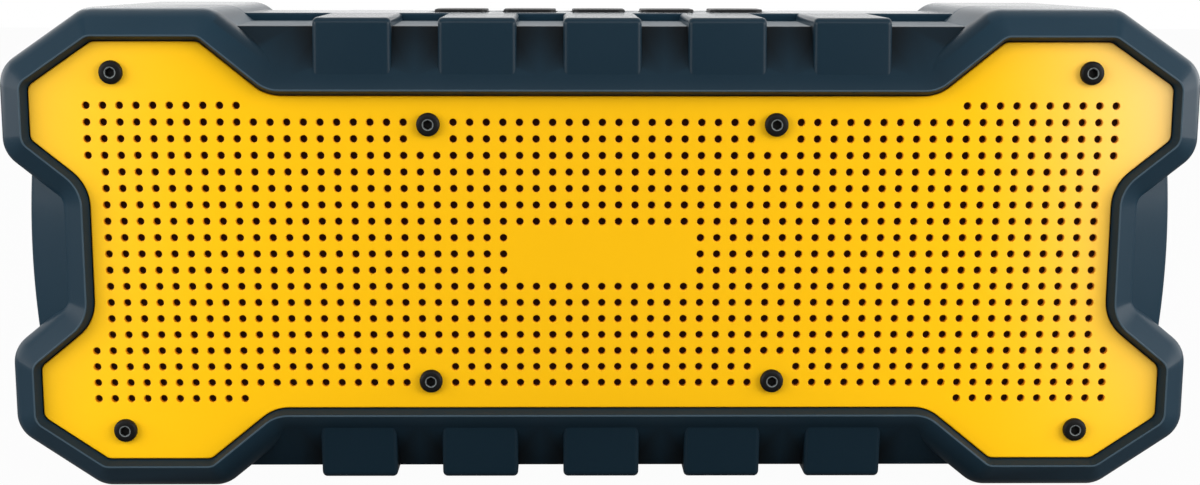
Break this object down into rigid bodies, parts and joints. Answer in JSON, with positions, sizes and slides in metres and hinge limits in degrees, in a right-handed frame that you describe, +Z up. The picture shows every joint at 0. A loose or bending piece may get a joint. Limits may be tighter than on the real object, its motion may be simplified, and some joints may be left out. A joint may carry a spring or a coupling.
{
  "type": "bluetooth speaker",
  "caption": "Rugged dog-bone bluetooth speaker: perforated yellow front panel under socket screws, ribbed waist, deck of push-buttons and a hinged flap over the rear sockets.",
  "frame": {"origin": "under the middle of the footprint, on the plane the lobes stand on", "axes": "+X to the right along the width, +Y to the back, +Z up; the grille faces -Y"},
  "size_m": [0.2914, 0.1, 0.1184],
  "materials": {
    "navy_rubber": "matte",
    "black_rubber": "matte",
    "black_cloth": "matte",
    "yellow_panel": "semi-gloss",
    "black_steel": "black oxide",
    "steel": "zinc plated",
    "brass": "turned",
    "ferrite": "ground",
    "spider_cloth": "woven",
    "black_paper": "matte",
    "copper": "enamelled wire",
    "circuit_board": "solder mask",
    "black_plastic": "moulded",
    "cell_wrap": "shrink wrap",
    "black_lead": "satin",
    "red_lead": "satin",
    "grey_lead": "satin"
  },
  "bodies": {
    "speaker": {"front_housing": "navy_rubber", "rear_housing": "navy_rubber", "housing_seal": "black_rubber", "case_screws": "black_steel", "case_inserts": "brass", "grille_panel": "yellow_panel", "grille_gasket": "black_rubber", "grille_cloth": "black_cloth", "grille_screws": "black_steel", "grille_inserts": "brass", "driver_screws": "black_steel", "button_board": "circuit_board", "button_switches": "black_plastic", "button_board_screws": "steel", "flap_pin": "steel", "main_board": "circuit_board", "board_screws": "steel", "charge_socket": "steel", "aux_socket": "black_plastic", "battery_cells": "cell_wrap", "battery_tray": "black_plastic", "tray_screws": "steel", "left_speaker_lead": "black_lead", "right_speaker_lead": "black_lead", "battery_lead": "red_lead", "button_lead": "grey_lead", "left_driver_gasket": "black_rubber", "left_driver_basket": "steel", "left_driver_top_plate": "steel", "left_driver_magnet": "ferrite", "left_driver_yoke": "steel", "left_driver_surround": "black_rubber", "left_driver_spider": "spider_cloth", "right_driver_gasket": "black_rubber", "right_driver_basket": "steel", "right_driver_top_plate": "steel", "right_driver_magnet": "ferrite", "right_driver_yoke": "steel", "right_driver_surround": "black_rubber", "right_driver_spider": "spider_cloth"},
    "power_button": {"power_button": "black_rubber"},
    "pairing_button": {"pairing_button": "black_rubber"},
    "volume_down_button": {"volume_down_button": "black_rubber"},
    "play_button": {"play_button": "black_rubber"},
    "volume_up_button": {"volume_up_button": "black_rubber"},
    "port_flap": {"port_flap": "black_rubber"},
    "left_diaphragm": {"left_driver_cone": "black_paper", "left_driver_dust_cap": "black_paper", "left_voice_coil": "copper"},
    "right_diaphragm": {"right_driver_cone": "black_paper", "right_driver_dust_cap": "black_paper", "right_voice_coil": "copper"}
  },
  "joints": [
    {"name": "power_button_press", "type": "slide", "parent": "speaker", "child": "power_button", "axis": [0, 0, -1], "range_m": [0, 0.0007], "stiffness_N_per_m": 1500},
    {"name": "pairing_button_press", "type": "slide", "parent": "speaker", "child": "pairing_button", "axis": [0, 0, -1], "range_m": [0, 0.0007], "stiffness_N_per_m": 1500},
    {"name": "volume_down_button_press", "type": "slide", "parent": "speaker", "child": "volume_down_button", "axis": [0, 0, -1], "range_m": [0, 0.0007], "stiffness_N_per_m": 1500},
    {"name": "play_button_press", "type": "slide", "parent": "speaker", "child": "play_button", "axis": [0, 0, -1], "range_m": [0, 0.0007], "stiffness_N_per_m": 1500},
    {"name": "volume_up_button_press", "type": "slide", "parent": "speaker", "child": "volume_up_button", "axis": [0, 0, -1], "range_m": [0, 0.0007], "stiffness_N_per_m": 1500},
    {"name": "port_flap_hinge", "type": "hinge", "parent": "speaker", "child": "port_flap", "pos_m": [0, 0.0452, 0.0471], "axis": [1, 0, 0], "range_deg": [0, 80]},
    {"name": "left_diaphragm_stroke", "type": "slide", "parent": "speaker", "child": "left_diaphragm", "axis": [0, -1, 0], "range_m": [-0.0015, 0.0015], "stiffness_N_per_m": 1500, "deforming": ["left_driver_surround", "left_driver_spider"]},
    {"name": "right_diaphragm_stroke", "type": "slide", "parent": "speaker", "child": "right_diaphragm", "axis": [0, -1, 0], "range_m": [-0.0015, 0.0015], "stiffness_N_per_m": 1500, "deforming": ["right_driver_surround", "right_driver_spider"]}
  ]
}
